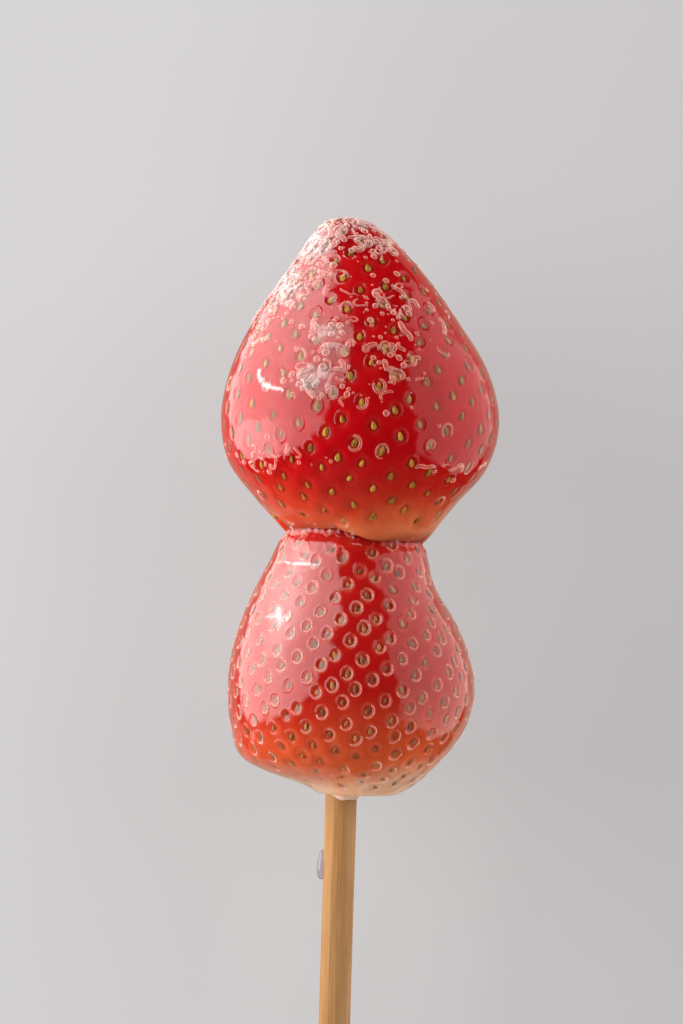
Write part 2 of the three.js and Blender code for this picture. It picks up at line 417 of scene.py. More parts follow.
def flesh_piece(name, fruit, rows, columns, shape=lambda points: points):
    """A closed fruit: the skin moved in by the sugar's thickness, of which a share is left
    at the joint, plus the pits' relief, then changed by the shape."""
    ends = fruit["line"][[0, -1], 3]
    lengths = (np.arange(rows) + 0.5) / rows * ends[1]
    points, out = fruit_grid(fruit, lengths, columns)
    distance = pit_distance(points, fruit)
    away = np.clip((np.abs(-points[..., 1] - joint_down) - joint_near) / joint_fade, 0, 1)
    inset = coat_thickness * (away + (1 - away) * fruit["joint_sugar"])
    points = shape(points + out * (flesh_relief(distance) - inset)[..., None])
    points[..., 2] = np.maximum(points[..., 2], -tip_place[2] + coat_thickness)
    piece = ring_piece(name, points, shape(fruit_poles(fruit, coat_thickness)))
    add_values(piece, "seed_distance", distance, [far_away, far_away])
    add_values(piece, "hull_distance", np.repeat(lengths, columns) - ends[1], ends - ends[1])
    return piece, points


def attribute(tree, name):
    """A number that the mesh keeps at each of its points."""
    return node(tree, "ShaderNodeAttribute", attribute_name=name).outputs["Fac"]


def seed_ring(tree, radius, width, field="seed_distance"):
    """A mask that is 1 on a ring round each seed: e to minus the square of the distance
    from the ring over its width, both in half-sizes of the pit."""
    share = worked(tree, "DIVIDE", worked(tree, "SUBTRACT", attribute(tree, field), radius), width)
    return worked(tree, "EXPONENT", worked(tree, "MULTIPLY", worked(tree, "MULTIPLY", share, share), -1.0))


# Flesh: red with soft patches and pale veins, orange towards the hull end, white round the
# scar, and paler round each seed.
flesh_colour, given, made = new_group(
    "flesh_colour",
    [(label, "NodeSocketColor", (0.5, 0.1, 0.1, 1)) for label in ("Red", "Deep red", "Orange", "White")]
    + [(label, "NodeSocketFloat", 0.0) for label in (
        "Orange from", "Orange to", "White from", "White to", "Lean", "Halo")],
    [("Colour", "NodeSocketColor"), ("Height", "NodeSocketFloat")],
)
tree = flesh_colour
place = object_place(tree)
axes = node(tree, "ShaderNodeSeparateXYZ", {0: place}).outputs
wander = node(tree, "ShaderNodeTexNoise", {"Vector": place, "Scale": 140.0, "Detail": 3.0}).outputs["Fac"]
shaken = worked(tree, "MULTIPLY_ADD", wander, 0.007, axes["Y"])
leaning = worked(tree, "MULTIPLY_ADD", axes["X"], given["Lean"], shaken)
orange = ramp(tree, leaning, given["Orange from"], given["Orange to"], kind="SMOOTHSTEP")
ragged = worked(tree, "MULTIPLY_ADD", wander, -7.0, attribute(tree, "hull_distance"))
tilted = worked(tree, "MULTIPLY_ADD", axes["X"], 280.0, ragged)
white = ramp(tree, tilted, given["White from"], given["White to"], kind="SMOOTHSTEP")
soft = streak_mask(tree, (1, 0.6, 1), 210.0, 0.3, 0.7)
veins = streak_mask(tree, (1, 0.25, 1), 1100.0, 0.52, 0.75)
halo = worked(tree, "MULTIPLY", seed_ring(tree, 0.95, 0.30), given["Halo"])
colour = mix_colour(tree, worked(tree, "MULTIPLY", soft, 0.5), given["Red"], given["Deep red"])
colour = mix_colour(tree, orange, colour, given["Orange"])
colour = mix_colour(tree, white, colour, given["White"])
colour = mix_colour(tree, worked(tree, "MULTIPLY", veins, 0.07), colour, (0.75, 0.05, 0.03, 1))
colour = mix_colour(tree, halo, colour, (0.80, 0.22, 0.12, 1))
fill(made, {"Colour": colour, "Height": veins})


def flesh_material(name, **values):
    """Soft fruit flesh: light goes a few millimetres into it and comes out redder."""
    material, tree, shader = new_material(name)
    painted = node(tree, "ShaderNodeGroup", node_tree=flesh_colour)
    set_inputs(painted, **values)
    relief = bump(tree, painted.outputs["Height"], 0.3, 0.0001)
    set_inputs(shader, Base_Color=painted.outputs["Colour"], Normal=relief, Roughness=0.45, IOR=1.1,
               Subsurface_Weight=1.0, Subsurface_Scale=0.0016, Subsurface_Radius=(1.0, 0.22, 0.14))
    return material, tree, shader, painted


lower["line"] = measured_line(lower["stations"])
lower["places"] = seed_places(lower)
flesh_lower, _ = flesh_piece("flesh_lower", lower, rows=200, columns=360)
lower_flesh, *_ = flesh_material(
    "lower_flesh", Red=(0.46, 0.007, 0.005, 1), Deep_red=(0.38, 0.004, 0.004, 1),
    Orange=(0.69, 0.150, 0.040, 1), White=(0.78, 0.47, 0.30, 1), Halo=0.20, Lean=-0.16,
    Orange_from=tip_y - 0.0545, Orange_to=tip_y - 0.071, White_from=-16.5, White_to=-10.0)
flesh_lower.data.materials.append(lower_flesh)
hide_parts("lower_strawberry")
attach(flesh_lower, "root")

# Pith: a soft white collar of torn core round the skewer, thicker on the shown side and
# longer on the right.
collar_start, collar_end = 70.8, 72.7
collar_sunk = 0.3  # how far it starts inside the skewer


def collar_rings(rows, columns):
    """Rings round the skewer from the collar's start to its end. The radius swells by the
    root of a half sine on the way, and sines of the angle make the swelling and the
    lower edge uneven."""
    t = ((np.arange(rows) + 0.5) / rows)[:, None]
    angle = round_angles(columns)
    swell = (0.75 + 0.45 * np.sin(angle) + 0.25 * np.cos(3 * angle - 2.6)
             + 0.10 * np.sin(7 * angle + 4 * t))
    radius = skewer_radius - collar_sunk + swell * np.sqrt(np.sin(np.pi * t))
    reach = (collar_end - collar_start) * (1 + 0.35 * np.cos(angle - 0.9) + 0.06 * np.sin(5 * angle))
    return np.stack([radius * np.cos(angle), -(collar_start + reach * t), radius * np.sin(angle)], -1)


pith_collar = ring_piece("pith_collar", collar_rings(rows=24, columns=64),
                         [[0, -collar_start, 0], [0, -collar_end, 0]])
pith, tree, shader = new_material("pith")
torn = streak_mask(tree, (1, 0.3, 1), 900.0, 0.3, 0.7)
pale = mix_colour(tree, torn, (0.78, 0.60, 0.47, 1), (0.66, 0.42, 0.29, 1))
set_inputs(shader, Base_Color=pale, Normal=bump(tree, torn, 0.5, 0.0001), Roughness=0.35, IOR=1.4,
           Subsurface_Weight=1.0, Subsurface_Scale=0.0008)
pith_collar.data.materials.append(pith)
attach(pith_collar, "root")


# Seeds: small teardrops, one in each pit, lying along the fruit with their tips forward.
def ball_points(rows, columns, narrower=(0.0, 0.0)):
    """A ball on a grid of rings with two poles. Its width and its depth each shrink by a
    share towards the first pole and grow by it towards the other."""
    p = ((np.arange(rows) + 0.5) / rows * np.pi)[:, None]
    c = round_angles(columns)
    width, depth = (1 - share * np.cos(p) for share in narrower)
    x, z = np.sin(p) * np.cos(c) * width, np.sin(p) * np.sin(c) * depth
    rings = np.stack([x, np.cos(p) + 0 * x, z], -1).reshape(-1, 3)
    return np.vstack([rings, [[0, 1, 0], [0, -1, 0]]])


def repeated(faces, copies, corners):
    """The faces of copies of a shape, whose points follow one another with so many
    corners to a copy."""
    shift = (np.arange(copies) * corners)[:, None, None]
    return [(kind[None] + shift).reshape(-1, kind.shape[1]) for kind in faces]


def many(template, faces, origins, axes, sizes):
    """Copies of a small shape: each point is the copy's origin plus the shape's own x, y
    and z times the copy's size along its three axes."""
    points = origins[:, None, :] + np.einsum("vk,nk,nkd->nvd", template, sizes, axes)
    return points.reshape(-1, 3), repeated(faces, len(origins), len(template))


def seed_piece(name, fruit, half_size, lift):
    """All the seeds of a fruit, each turned a little and sunk in its pit."""
    rows, columns = 6, 8
    most_turn, size_spread = 0.35, 0.18
    length, angle = fruit["places"]
    index = np.arange(len(length))
    across, along, out = skin_frame(fruit, length, angle)
    turn = most_turn * stray(index, 3)[:, None]
    ahead = -along * np.cos(turn) + across * np.sin(turn)
    axes = np.stack([np.cross(ahead, out), ahead, out], 1)
    sizes = np.array(half_size) * (1 + size_spread * stray(index, 4)[:, None])
    template = ball_points(rows, columns, narrower=(0.3, 0))
    points, faces = many(template, ring_faces(rows, columns),
                         skin(fruit, length, angle) + out * lift, axes, sizes)
    piece = make_piece(name, points, *faces)
    add_values(piece, "own", np.repeat(stray(index, 5), len(template)))
    return piece


def seed_material(name, light, dark):
    """A dry seed coat: each seed has its own mix of the two colours, with fine streaks."""
    material, tree, shader = new_material(name)
    streak = streak_mask(tree, (1, 0.3, 1), 3000.0, 0.35, 0.65)
    share = worked(tree, "MULTIPLY_ADD", attribute(tree, "own"), 0.35, streak, use_clamp=True)
    set_inputs(shader, Base_Color=mix_colour(tree, share, light, dark),
               Normal=bump(tree, streak, 0.4, 0.00005), Roughness=0.5, IOR=1.2)
    return material


seeds_lower = seed_piece("seeds_lower", lower, half_size=(0.26, 0.46, 0.20), lift=-0.46)
brown_seed = seed_material("brown_seed", light=(0.40, 0.19, 0.06, 1), dark=(0.13, 0.040, 0.018, 1))
seeds_lower.data.materials.append(brown_seed)
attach(seeds_lower, "root")

# ---- The upper strawberry ----------------------------------------------------------------
# A larger, darker fruit with a pointed tip. Its hull end is pressed onto the tip of the one
# below, which leaves a nest in it.
nest_overlap = 0.6
edge_drop = 0.75  # how far its edge hangs down on the right, and is drawn up on the left
edge_fade = 2.2  # along the skewer
upper = {
    "stations": np.array([
        [0, 0, -1.4], [0.5, 2.3, -1.3], [2, 4.4, -0.85], [6.8, 8.45, 0], [12.9, 12.8, 0.3],
        [18.9, 16.1, 0.8], [25.2, 17.5, 1.0], [31, 16.3, 0.85], [35.6, 12.7, 0.75],
        [39.4, 9.1, 0.85], [40.6, 4.5, 0.8], [40.7, 0, 0.8],
    ]),
    "depth_ratio": 0.94,
    "forward": 0.75,
    "seeds": 400,
    "bare": (38.6, 60),
    "pit_half": (0.80, 1.0),
    "joint_sugar": 0.3,
}
upper["line"] = measured_line(upper["stations"])
upper["places"] = seed_places(upper)

froth_patches = np.array([
    # to the right, down, half-width, half-length, share of curls, share of cloud
    [-5.5, 3.6, 3.2, 3.4, 1.0, 1.0], [-8.6, 8.6, 2.8, 3.8, 0.9, 0.9], [-11.6, 13.5, 1.6, 3.0, 0.3, 0.5],
    [-0.5, 1.6, 3.6, 2.0, 0.9, 0.7], [3.2, 3.4, 2.4, 1.8, 0.9, 0.1], [-3.4, 15.4, 2.6, 2.4, 0.5, 0.8],
    [-4.4, 20.8, 3.0, 2.2, 0.9, 1.0], [3.2, 12.0, 3.8, 2.2, 0.9, 0.3], [4.2, 17.0, 3.4, 3.2, 0.8, 0.0],
    [3.0, 22.5, 2.4, 1.8, 0.5, 0.0], [9.6, 13.0, 2.0, 3.0, 0.35, 0.0], [-10.0, 30.4, 5.5, 1.3, 0.6, 0.2],
    [7.2, 18.0, 2.4, 4.0, 0.45, 0.0], [12.0, 31.5, 3.0, 1.2, 0.4, 0.0],
])
CURLS, CLOUD = 4, 5
tip_froth, tip_froth_reach = 0.55, 5.0
froth_floor = -2.0  # no patch reaches further round than this height


def hump(offset, width):
    """1 where the offset is 0, and e to minus the square of the offset over the width."""
    return np.exp(-((offset / width) ** 2))


def froth_amount(points, kind):
    """How many curls, or how much milky cloud, the sugar holds at a point: the largest of
    several soft ovals on the shown side and a soft cap round the tip."""
    x, down, z = points[..., 0], -points[..., 1], points[..., 2]
    amount = tip_froth * hump(down, tip_froth_reach)
    for patch in froth_patches:
        oval = ((x - patch[0]) / patch[2]) ** 2 + ((down - patch[1]) / patch[3]) ** 2
        amount = np.maximum(amount, patch[kind] * np.exp(-oval) * (z > froth_floor))
    return amount


def uneven_edge(points):
    """How far down a point near the joint is drawn: a smooth step from left to right and
    two small waves round the fruit, faded out away from the joint."""
    x, down, z = points[..., 0], -points[..., 1], points[..., 2]
    angle = np.arctan2(z, x)
    step = edge_drop * (np.tanh((x - 0.9) / 1.6) - 0.4) * (z > 0)
    drop = step + 0.10 * np.sin(5 * angle + 1) + 0.08 * np.sin(13 * angle)
    return drop * hump(down - joint_down, edge_fade)


def nested(points):
    """Points of the upper fruit with an uneven edge, pressed up to the skin of the lower
    tip: a point within the tip's width lies no further down than the skin there, plus a
    small overlap."""
    tip = lower["line"][lower["line"][:, 0] < 45]
    aside = points[..., 0] - lower["stations"][0, 2]
    spread = np.hypot(aside, (points[..., 2] - lower["forward"]) / lower["depth_ratio"])
    reach = np.interp(spread, tip[:, 1], tip[:, 0], right=90.0)
    pressed = points.copy()
    pressed[..., 1] = np.maximum(points[..., 1] - uneven_edge(points), -(reach + nest_overlap))
    return pressed


flesh_upper, flesh_points = flesh_piece("flesh_upper", upper, rows=230, columns=380, shape=nested)
froth_at_poles = [0.6, 0]
add_values(flesh_upper, "froth", froth_amount(flesh_points, CLOUD), froth_at_poles)
upper_flesh, tree, shader, painted = flesh_material(
    "upper_flesh", Red=(0.49, 0.001, 0.004, 1), Deep_red=(0.38, 0.0, 0.003, 1),
    Orange=(0.66, 0.098, 0.030, 1), White=(0.68, 0.18, 0.066, 1), Halo=0.04, Lean=-0.06,
    Orange_from=tip_y - 0.0265, Orange_to=tip_y - 0.0400, White_from=-17.5, White_to=-10.5)

# Under the cloud the red looks pinkish white, broken up by soft patches and round cells.
cells = node(tree, "ShaderNodeTexVoronoi", {"Vector": object_place(tree), "Scale": 900.0},
             feature="SMOOTH_F1").outputs["Distance"]
patchy = worked(tree, "MULTIPLY_ADD", streak_mask(tree, (1, 1, 1), 420.0, 0.25, 0.75), 1.3, 0.9)
broken = worked(tree, "MULTIPLY_ADD", cells, -0.8, patchy)
cloud = worked(tree, "MULTIPLY", attribute(tree, "froth"), broken)
whitened = ramp(tree, cloud, 0.50, 1.35, 0.0, 0.60, kind="SMOOTHSTEP")
under_froth = mix_colour(tree, whitened, painted.outputs["Colour"], (0.84, 0.58, 0.56, 1))
set_inputs(shader, Base_Color=under_froth)
flesh_upper.data.materials.append(upper_flesh)
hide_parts("upper_strawberry")
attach(flesh_upper, "root")

seeds_upper = seed_piece("seeds_upper", upper, half_size=(0.32, 0.54, 0.24), lift=-0.48)
yellow_seed = seed_material("yellow_seed", light=(0.50, 0.27, 0.035, 1), dark=(0.17, 0.075, 0.014, 1))
seeds_upper.data.materials.append(yellow_seed)
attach(seeds_upper, "root")

# ---- The sugar coat ------------------------------------------------------------------------
# Sugar syrup boiled to the hard crack, into which both fruits were dipped together. It set
# clear and about half a millimetre thick, rounds off the joint, and dips at the seeds.
neck_from, neck_to = 37.0, 43.5
neck_narrowing, neck_width = 0.07, 1.3
pleat_height, pleat_fade = 0.09, 1.4
crease_down, crease_depth, crease_width = 0.35, 0.42, 0.65  # below the joint, into the sugar
coat_rows, coat_columns = 260, 370


def through_neck(first, second, narrowing=0.0):
    """A value of the upper fruit that turns smoothly into the lower one's at the joint,
    less a smooth narrowing there."""
    def value(down):
        t = np.clip((down - neck_from) / (neck_to - neck_from), 0, 1)
        narrower = narrowing * hump(down - joint_down, neck_width)
        return first + (second - first) * t * t * (3 - 2 * t) - narrower
    return value


coat = {
    "stations": np.vstack([
        upper["stations"][:9],
        [[38.2, 10.35, 0.88], [39.5, 9.2, 0.84], [40.3, 8.85, 0.80], [41.3, 9.15, 0.6], [43.2, 9.95, 0.25]],
        lower["stations"][4:],
    ]),
    "depth_ratio": through_neck(upper["depth_ratio"], lower["depth_ratio"], neck_narrowing),
    "forward": through_neck(upper["forward"], lower["forward"]),
}
coat["line"] = coat_line = measured_line(coat["stations"], steps=800)
one_way = coat_line[:700]  # its part along which the distance down only grows


def length_at(down):
    """The coat line's length at a distance down."""
    return np.interp(down, one_way[:, 0], one_way[:, 3])


def coat_relief(distance, depth, rim):
    """Height of the sugar for a distance from a seed: a dip over the seed with a low rim
    at the edge of its pit."""
    return -depth * np.exp(-3.0 * distance**2) + rim * hump(distance - 1.0, 0.28)


def creased(points, out):
    """Points of the coat with small pleats round the joint, which are two sines of the
    angle, the crease under it, and the uneven edge."""
    away = -points[..., 1] - joint_down
    around = np.arctan2(points[..., 2], points[..., 0])
    pleats = (np.sin(31 * around + 0.4 * away) + np.sin(47 * around - 0.7 * away + 2)) / 2
    height = (pleat_height * pleats * hump(away, pleat_fade)
              - crease_depth * hump(away - crease_down, crease_width))
    points = points + out * height[..., None]
    points[..., 1] -= uneven_edge(points)
    return points


# The rings lie a third as far apart in the joint as elsewhere.
extra_rings, extra_reach = 2, 2.2
joint_length = length_at(joint_down)
fine = np.linspace(0, coat_line[-1, 3], 4000)
density = 1 + extra_rings * hump(fine - joint_length, extra_reach)
shares = np.cumsum(density) / density.sum()
lengths = np.interp((np.arange(coat_rows) + 0.5) / coat_rows, shares, fine)
points, out = fruit_grid(coat, lengths, coat_columns)
lower_distance, upper_distance = pit_distance(points, lower), pit_distance(points, upper)
relief = (coat_relief(lower_distance, depth=0.055, rim=0.018)
          + coat_relief(upper_distance, depth=0.03, rim=0.012))
points = creased(points + out * relief[..., None], out)
points[..., 2] = np.maximum(points[..., 2], -tip_place[2])
sugar_coat = ring_piece("sugar_coat", points, fruit_poles(coat, 0))
add_values(sugar_coat, "seed_distance", lower_distance, [far_away, far_away])
add_values(sugar_coat, "upper_distance", upper_distance, [far_away, far_away])
add_values(sugar_coat, "froth", froth_amount(points, CLOUD), froth_at_poles)

# Light that only casts a shadow or lights the flesh goes straight through clear sugar.
clear_sugar, tree, shader = new_material("clear_sugar")
waves = bump(tree, streak_mask(tree, (1, 1, 1), 120.0, 0.0, 1.0), 0.25, 0.0005)
lips = worked(tree, "MULTIPLY_ADD", seed_ring(tree, 1.0, 0.18, "upper_distance"), 0.6,
              seed_ring(tree, 1.0, 0.17))
along = node(tree, "ShaderNodeSeparateXYZ", {0: object_place(tree)}).outputs["Y"]
haze = worked(tree, "MULTIPLY", attribute(tree, "froth"), streak_mask(tree, (1, 1, 1), 520.0, 0.35, 0.70))
set_inputs(shader, Base_Color=(1.0, 0.97, 0.93, 1), IOR=1.5, Transmission_Weight=1.0,
           Coat_Weight=ramp(tree, along, tip_y - 0.039, tip_y - 0.042, 0.0, 0.45),
           Roughness=ramp(tree, haze, 0.0, 1.0, 0.03, 0.22),
           Normal=bump(tree, lips, 1.0, 0.00005, Normal=waves))
light_path = node(tree, "ShaderNodeLightPath").outputs
passing = worked(tree, "MAXIMUM", light_path["Is Shadow Ray"], light_path["Is Diffuse Ray"])
clear = node(tree, "ShaderNodeBsdfTransparent")
either = node(tree, "ShaderNodeMixShader", {0: passing, 1: shader.outputs[0], 2: clear.outputs[0]})
show(tree, either)
sugar_coat.data.materials.append(clear_sugar)
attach(sugar_coat, "root")

# ---- Froth in the sugar --------------------------------------------------------------------
# The syrup foamed on the side it was poured over. The foam set on the upper strawberry as
# clear curls, open rings round seeds, beads and bubbles, half sunk in the coat. The lower
# strawberry's pits got raised rims, and the joint short threads.
random = np.random.default_rng(23)
thread_steps, thread_sides, flatness = 22, 8, 0.55
rim_steps, rim_sides = 14, 5  # fewer, because there are hundreds
froth_tries = 60000


def frothy_places(count, sharpness, kind=CURLS):
    """Places on the upper fruit drawn evenly over its area, each kept with a chance that
    is the share of curls or of cloud there to the power of the sharpness."""
    length = length_of_area(upper, random.random(froth_tries))
    angle = random.random(froth_tries) * 2 * np.pi
    chance = froth_amount(skin(upper, length, angle), kind) ** sharpness
    kept = np.flatnonzero(random.random(froth_tries) < chance)[:count]
    return length[kept], angle[kept]


# The foam is clear: its middle shows the flesh, and its edges carry a painted highlight, pale where it is
# seen edge-on.
frothy_sugar, tree, shader = new_material("frothy_sugar")
bubbles = streak_mask(tree, (1, 1, 1), 1500.0, 0.35, 0.70)
# Painted highlight: the foam turns opaque and pale as it is seen more edge-on.
edge = node(tree, "ShaderNodeLayerWeight", {"Blend": 0.42}).outputs["Facing"]
warm = mix_colour(tree, bubbles, (0.92, 0.38, 0.27, 1), (0.95, 0.62, 0.52, 1))
set_inputs(shader, Base_Color=mix_colour(tree, attribute(tree, "froth"), warm, (0.95, 0.74, 0.71, 1)),
           Normal=bump(tree, bubbles, 0.3, 0.00008), Alpha=ramp(tree, edge, 0.1, 0.75, 0.10, 0.80),
           Roughness=0.22, IOR=1.5)


def between(limits, share):
    """The value that lies a share of the way from the lower to the upper limit."""
    return limits[0] + (limits[1] - limits[0]) * share


def thread_piece(name, fruit, places, radius, bend, reach, turn=2 * np.pi):
    """Threads laid on the skin. Each one's heading starts within the given turn, then turns
    at its own steady rate plus a slow sine, and its path is the sum of the steps along
    that heading."""
    length, angle = (part[:, None] for part in places)
    own = random.random((6, len(length), 1))
    t = np.linspace(0, 1, thread_steps)[None, :]
    whole = between(reach, own[0])
    rate = between(bend, own[1]) * np.where(own[2] < 0.5, -1, 1)
    heading = turn * (own[3] - 0.5) + rate * whole * t + 0.6 * np.sin(2 * np.pi * (t + own[4]))
    step = whole / thread_steps
    across, along = (np.cumsum(part, axis=1) * step for part in (np.cos(heading), np.sin(heading)))
    path = place_beside(fruit, length, angle, across, along)
    swept(name, fruit, *path, between(radius, own[5]), thread_sides)


def seed_curls(name, fruit, chance, start, radius, away, turned, steps, sides):
    """An open ring of sugar round some of the seeds: part of an oval about the seed's
    place, with its own start, reach and size."""
    length, angle = fruit["places"]
    kept = random.random(len(length)) < chance
    length, angle = length[kept, None], angle[kept, None]
    own = random.random((4, kept.sum(), 1))
    t = np.linspace(0, 1, steps)[None, :]
    turn = between(start, own[0]) + between(turned, own[1]) * t
    size = between(away, own[2])
    across, along = size * np.cos(turn), 1.2 * size * np.sin(turn)
    path = place_beside(fruit, length, angle, across, along)
    swept(name, fruit, *path, between(radius, own[3]), sides)


def swept(name, fruit, length, angle, thick, sides):
    """Flattened round threads along paths on the skin, one row of places for each, whose
    radius falls to nothing at both ends like the root of 1 - u^6."""
    count, steps = length.shape
    centre = skin(fruit, length, angle)
    out = skin_frame(fruit, length, angle)[2]
    if fruit is coat:
        centre = creased(centre, out)
    ahead = unit(np.gradient(centre, axis=1))
    side = unit(np.cross(ahead, out))
    out = np.cross(side, ahead)
    u = 2 * (np.arange(steps) + 0.5) / steps - 1
    thick = thick * np.sqrt(1 - u**6)[None, :]
    c = round_angles(sides).T
    circle = np.cos(c) * side[:, :, None, :] + flatness * np.sin(c) * out[:, :, None, :]
    rings = centre[:, :, None, :] + circle * thick[:, :, None, None]
    poles = centre[:, [0, -1]] + (ahead[:, [0, -1]] * np.array([[-0.4], [0.4]])) * thick[:, [0, -1], None]
    points = np.concatenate([rings.reshape(count, -1, 3), poles], axis=1)
    froth_piece(name, points.reshape(-1, 3), repeated(ring_faces(steps, sides), count, points.shape[1]))


def froth_piece(name, points, faces):
    """A piece of set foam, clear of the table, that knows how milky the sugar is at each of
    its points."""
    points[:, 2] = np.maximum(points[:, 2], -tip_place[2])
    piece = make_piece(name, points, *faces)
    add_values(piece, "froth", froth_amount(points, CLOUD))
    piece.data.materials.append(frothy_sugar)
    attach(piece, "root")


def bead_piece(name, places, smallest, spread, power):
    """Flattened beads on the skin, with radii of the smallest plus the spread times a
    random share to a power, so that most are small."""
    rows, columns = 6, 10
    across, along, out = skin_frame(upper, *places)
    sizes = smallest + spread * random.random(len(out)) ** power
    points, faces = many(ball_points(rows, columns), ring_faces(rows, columns), skin(upper, *places),
                         np.stack([across, along, -out], 1), sizes[:, None] * np.array([1, 1, flatness]))
    froth_piece(name, points, faces)


thread_piece("sugar_worms", upper, frothy_places(76, 1.5),
             radius=(0.24, 0.40), bend=(0.3, 1.3), reach=(1.6, 3.4))
thread_piece("sugar_threads", upper, frothy_places(120, 1.0),
             radius=(0.11, 0.18), bend=(0.9, 2.0), reach=(1.4, 3.0))
curls_share = 0.9 * np.clip(froth_amount(skin(upper, *upper["places"]), CURLS) * 1.3, 0.12, 1)
seed_curls("sugar_curls", upper, curls_share, start=(0, 2 * np.pi), radius=(0.11, 0.20),
           away=(0.50, 0.85), turned=(2.6, 5.6), steps=thread_steps, sides=thread_sides)

# Nearly every pit of the lower fruit has a rim, and fewer do near its hull end.
pit_down = -skin(lower, *lower["places"])[..., 1]
lips_share = np.interp(pit_down, (60, 68), (0.92, 0.42))
seed_curls("pit_lips", lower, lips_share, start=(0.2, 1.0), radius=(0.10, 0.15),
           away=(0.60, 0.76), turned=(2.6, 4.6), steps=rim_steps, sides=rim_sides)

# Short threads lie round the left of the joint, along it, within a narrow belt.
joint_count, belt_middle, belt_half = 28, 0.1, 1.1
belt = joint_length + belt_half * (2 * random.random(joint_count) - 1) + belt_middle
around = np.pi * (0.45 + 0.60 * random.random(joint_count))
thread_piece("joint_threads", coat, (belt, around),
             radius=(0.07, 0.14), bend=(0.0, 0.3), reach=(0.8, 2.2), turn=0.7)

bead_piece("sugar_beads", frothy_places(450, 1.0), smallest=0.10, spread=0.32, power=2.5)
bead_piece("foam_bubbles", frothy_places(420, 1.6, CLOUD), smallest=0.20, spread=0.30, power=1.3)

# ---- The drop on the skewer ------------------------------------------------------------------
# One drop of syrup ran down the skewer's left side and set there, dull with fine bubbles.
drop_half = (0.55, 1.9, 0.6)
drop_middle = np.array([-skewer_radius - 0.2, -81.5, 0])
drop_grid = (24, 24)
points = drop_middle + drop_half * ball_points(*drop_grid, narrower=(0.35, 0.35))
sugar_drop = make_piece("sugar_drop", points, *ring_faces(*drop_grid))

dull_sugar, tree, shader = new_material("dull_sugar")
bubbles = streak_mask(tree, (1, 0.6, 1), 1800.0, 0.35, 0.70)
greyish = mix_colour(tree, bubbles, (0.74, 0.66, 0.71, 1), (0.60, 0.52, 0.57, 1))
set_inputs(shader, Base_Color=greyish, Normal=bump(tree, bubbles, 0.4, 0.00005), Roughness=0.35,
           IOR=1.4, Transmission_Weight=1.0)
sugar_drop.data.materials.append(dull_sugar)
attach(sugar_drop, "root")

# ---- The table, the light and the camera ---------------------------------------------------
# A pale matt table, a bright window on the left, a dim wall on the right, and a camera that
# looks straight down with the skewer leaning a little to the right.
half_table, table_gap = 3.0, 0.00005
table = bpy.data.meshes.new("table")
table.from_pydata([(side * half_table, end * half_table, -table_gap)
                   for side, end in ((-1, -1), (1, -1), (1, 1), (-1, 1))], [], [(0, 1, 2, 3)])
table_top = bpy.data.objects.new("table_top", table)
bpy.context.scene.collection.objects.link(table_top)
table_top.visible_glossy = False

# It glows a little, a painted light that is weaker towards the lower right, so that the room's light looks
# even.
matt, tree, shader = new_material("matt_table")
cloud = streak_mask(tree, (1, 1, 1), 9.0, 0.2, 0.8)
axes = node(tree, "ShaderNodeSeparateXYZ", {0: object_place(tree)}).outputs
glow_falloff = ramp(tree, worked(tree, "MULTIPLY_ADD", axes["Y"], -0.3, axes["X"]), -0.06, 0.06)
set_inputs(shader, Base_Color=mix_colour(tree, cloud, (0.13, 0.125, 0.125, 1), (0.15, 0.145, 0.145, 1)),
           Emission_Color=mix_colour(tree, glow_falloff, (1.0, 0.985, 0.99, 1), (0.74, 0.715, 0.72, 1)),
           Roughness=0.9, IOR=1.2, Emission_Strength=0.52)
table.materials.append(matt)

upper_middle = np.array([0, -25.0, 0])
fruit_radius = 17.0


def seen_in_ball(directions, away):
    """The places that the upper fruit, taken as a ball, mirrors to the camera. A direction r
    leans left of straight up and ahead towards the tip by two angles in degrees, the ball's
    skin faces n = r + up, made one long, and the place lies away along r from there."""
    left, ahead = np.moveaxis(np.radians(directions), -1, 0)
    ray = np.stack([-np.cos(ahead) * np.sin(left), np.sin(ahead), np.cos(ahead) * np.cos(left)], -1)
    return upper_middle + fruit_radius * unit(ray + [0, 0, 1]) + away * ray


def seen_on_skin(spots, away):
    """The places that the sugar mirrors to the camera at spots of its shown side, given as
    right and down. With the skin's direction n there, the mirrored ray is 2 n_z n - z."""
    right, down = np.moveaxis(spots, -1, 0)
    length = length_at(down)
    radius, shift = (np.interp(length, coat_line[:, 3], coat_line[:, i]) for i in (1, 2))
    angle = np.arccos(np.clip((right - shift) / radius, -0.98, 0.98))
    facing = skin_frame(coat, length, angle)[2]
    return skin(coat, length, angle) + away * (2 * facing[..., 2:] * facing - [0, 0, 1])


def filled(outline):
    """A closed outline filled by rings that shrink to its middle, and a share of light for
    each ring, which grows from nothing at the outline to all of it at the next one."""
    outline = np.array(outline + outline[:1], dtype=float)
    corner = np.arange(len(outline))
    fine = np.linspace(0, len(outline) - 1, 6 * len(outline) - 5)
    edge = np.stack([np.interp(fine, corner, outline[:, i]) for i in (0, 1)], -1)
    middle = outline[:-1].mean(axis=0)
    rings = np.append(1, np.linspace(0.93, 0, 8))[:, None]
    return middle + (edge - middle) * rings[..., None], (rings < 1) + 0 * fine


def ribbon(path, half_width):
    """Rows across a ribbon along a path, which narrows to both ends like the root of
    1 - u^2, and a share of light that falls to both sides like (1 - s^2)^2."""
    path = np.array(path, dtype=float)
    u = np.linspace(-1, 1, 41)
    fine = (u + 1) / 2 * (len(path) - 1)
    line = np.stack([np.interp(fine, np.arange(len(path)), path[:, i]) for i in (0, 1)], -1)
    beside = unit(np.gradient(line, axis=0))[:, ::-1] * [-1, 1]
    width = half_width * np.sqrt(1 - u**2)
    s = np.linspace(-1, 1, 9)[:, None]
    return line + s[..., None] * (beside * width[:, None]), (1 - s**2) ** 2 + 0 * u


